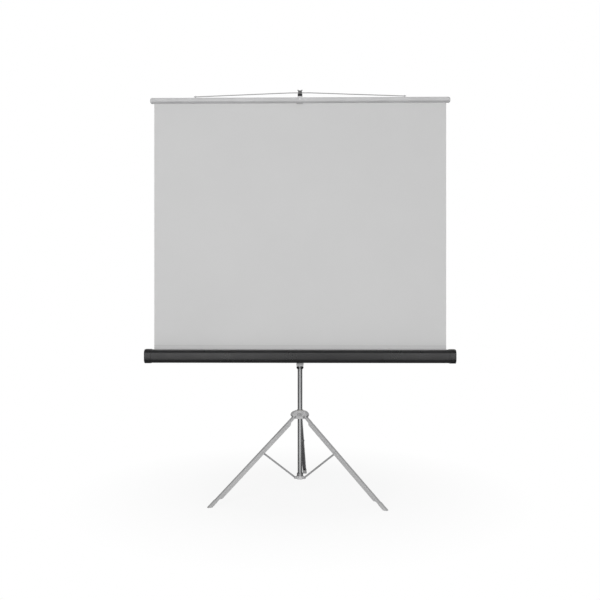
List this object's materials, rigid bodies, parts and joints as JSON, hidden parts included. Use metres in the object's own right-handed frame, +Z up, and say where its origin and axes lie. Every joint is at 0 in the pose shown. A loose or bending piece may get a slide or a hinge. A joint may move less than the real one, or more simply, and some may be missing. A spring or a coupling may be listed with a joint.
{
  "type": "tripod projection screen",
  "caption": "Portable pull-up projection screen: white fabric rolled from a horizontal case, hooked on a telescoping mast over a folding tripod.",
  "frame": {"origin": "middle of the bottom of the object's box, on the floor", "axes": "+Z up along the mast, +X along the case to the right as seen by the audience, the screen faces -Y"},
  "size_m": [1.675, 0.8326, 2.231],
  "materials": {
    "mast_tube": "satin bright tube",
    "grey_casting": "painted casting",
    "light_casting": "painted casting",
    "leg_grey": "grey painted sheet steel",
    "case_black": "satin black coating",
    "black_plastic": "moulded black plastic",
    "plated_steel": "zinc plated",
    "nylon": "natural nylon",
    "screen_white": "matt white coated cloth",
    "slat_grey": "satin light grey",
    "rubber": "grey moulded rubber"
  },
  "bodies": {
    "mast": {"mast_tube": "mast_tube", "foot_spider": "grey_casting", "mast_lock_collar": "black_plastic", "carrier_collar": "light_casting", "carrier_bush": "black_plastic", "pivot_stud": "plated_steel", "pivot_washer": "black_plastic"},
    "hub": {"hub_casting": "grey_casting", "hub_bush": "nylon", "leg_pin_1": "plated_steel", "leg_pin_2": "plated_steel", "leg_pin_3": "plated_steel"},
    "hub_screw": {"hub_thumb_screw": "plated_steel"},
    "carrier_lock": {"carrier_knob": "black_plastic"},
    "mast_lock": {"mast_lock_knob": "black_plastic"},
    "middle_lock": {"middle_lock_knob": "black_plastic"},
    "middle": {"middle_tube": "mast_tube", "middle_glide": "nylon", "middle_lock_collar": "black_plastic"},
    "pole": {"pole_tube": "mast_tube", "pole_glide": "nylon", "pole_hook": "black_plastic"},
    "case": {"case_shell": "case_black", "case_end_cap_left": "black_plastic", "case_end_cap_right": "black_plastic", "case_bracket": "leg_grey", "spring_spindle": "plated_steel", "torsion_spring": "plated_steel", "screen_fabric": "screen_white"},
    "roller": {"roller_tube": "plated_steel", "fabric_roll": "screen_white", "roller_plug_left": "nylon", "roller_plug_right": "nylon"},
    "slat": {"slat_profile": "slat_grey", "slat_cap_left": "slat_grey", "slat_cap_right": "slat_grey", "slat_grip": "slat_grey", "bail_eye_left": "plated_steel", "bail_eye_right": "plated_steel"},
    "bail": {"bail_wire": "plated_steel"},
    "leg_1": {"leg_channel_1": "leg_grey", "foot_tip_1": "rubber", "brace_pin_1": "plated_steel"},
    "brace_1": {"brace_bar_1": "leg_grey", "spider_pin_1": "plated_steel"},
    "leg_2": {"leg_channel_2": "leg_grey", "foot_tip_2": "rubber", "brace_pin_2": "plated_steel"},
    "brace_2": {"brace_bar_2": "leg_grey", "spider_pin_2": "plated_steel"},
    "leg_3": {"leg_channel_3": "leg_grey", "foot_tip_3": "rubber", "brace_pin_3": "plated_steel"},
    "brace_3": {"brace_bar_3": "leg_grey", "spider_pin_3": "plated_steel"}
  },
  "joints": [
    {"name": "hub_slide", "type": "slide", "parent": "mast", "child": "hub", "axis": [0, 0, 1], "range_m": [0, 0.17932]},
    {"name": "leg_1_fold", "type": "hinge", "parent": "hub", "child": "leg_1", "pos_m": [0.00151, -0.08477, 0.43573], "axis": [-0.9991, 0.0419, 0], "range_deg": [0, 44.31]},
    {"name": "brace_1_fold", "type": "hinge", "parent": "leg_1", "child": "brace_1", "pos_m": [0.00951, 0.10619, 0.25941], "axis": [0.9991, -0.0419, 0], "range_deg": [0, 90.54]},
    {"name": "leg_2_fold", "type": "hinge", "parent": "hub", "child": "leg_2", "pos_m": [-0.0319, -0.13742, 0.43573], "axis": [0.4633, -0.8862, 0], "range_deg": [0, 44.31]},
    {"name": "brace_2_fold", "type": "hinge", "parent": "leg_2", "child": "brace_2", "pos_m": [-0.20129, -0.22597, 0.25941], "axis": [-0.4633, 0.8862, 0], "range_deg": [0, 90.54]},
    {"name": "leg_3_fold", "type": "hinge", "parent": "hub", "child": "leg_3", "pos_m": [0.0304, -0.14003, 0.43573], "axis": [0.5358, 0.8443, 0], "range_deg": [0, 44.31]},
    {"name": "brace_3_fold", "type": "hinge", "parent": "leg_3", "child": "brace_3", "pos_m": [0.19177, -0.24244, 0.25941], "axis": [-0.5358, -0.8443, 0], "range_deg": [0, 90.54]},
    {"name": "hub_screw_turn", "type": "hinge", "parent": "hub", "child": "hub_screw", "pos_m": [0, -0.12074, 0.44973], "axis": [-0.0419, -0.9991, 0], "range_deg": [0, 360]},
    {"name": "case_swivel", "type": "hinge", "parent": "mast", "child": "case", "pos_m": [0, -0.12074, 0.7735], "axis": [0, 1, 0], "range_deg": [0, 60]},
    {"name": "carrier_knob_turn", "type": "hinge", "parent": "mast", "child": "carrier_lock", "pos_m": [0, -0.12074, 0.738], "axis": [0, 1, 0], "range_deg": [0, 360]},
    {"name": "mast_knob_turn", "type": "hinge", "parent": "mast", "child": "mast_lock", "pos_m": [0, -0.12074, 0.799], "axis": [0, 1, 0], "range_deg": [0, 360]},
    {"name": "middle_slide", "type": "slide", "parent": "mast", "child": "middle", "axis": [0, 0, -1], "range_m": [0, 0.642]},
    {"name": "middle_knob_turn", "type": "hinge", "parent": "middle", "child": "middle_lock", "pos_m": [0, -0.12074, 1.503], "axis": [0, 1, 0], "range_deg": [0, 360]},
    {"name": "pole_slide", "type": "slide", "parent": "middle", "child": "pole", "axis": [0, 0, -1], "range_m": [0, 0.6845]},
    {"name": "slat_slide", "type": "slide", "parent": "case", "child": "slat", "axis": [0, 0, -1], "range_m": [0, 1.3265], "deforming": ["screen_fabric"]},
    {"name": "roller_spin", "type": "hinge", "parent": "case", "child": "roller", "pos_m": [0, -0.21374, 0.7735], "axis": [-1, 0, 0], "range_deg": [0, 4107.7]},
    {"name": "bail_swing", "type": "hinge", "parent": "slat", "child": "bail", "pos_m": [0, -0.19464, 2.179], "axis": [1, 0, 0], "range_deg": [0, 100]}
  ],
  "couplings": [
    {"joint": "leg_1_fold", "follows": "hub_slide", "rad_per_m": 4.3118},
    {"joint": "brace_1_fold", "follows": "hub_slide", "rad_per_m": 8.8119},
    {"joint": "leg_2_fold", "follows": "hub_slide", "rad_per_m": 4.3118},
    {"joint": "brace_2_fold", "follows": "hub_slide", "rad_per_m": 8.8119},
    {"joint": "leg_3_fold", "follows": "hub_slide", "rad_per_m": 4.3118},
    {"joint": "brace_3_fold", "follows": "hub_slide", "rad_per_m": 8.8119},
    {"joint": "pole_slide", "follows": "middle_slide", "ratio": 1.0654},
    {"joint": "slat_slide", "follows": "middle_slide", "ratio": 2.0654},
    {"joint": "roller_spin", "follows": "middle_slide", "rad_per_m": 111.64}
  ]
}
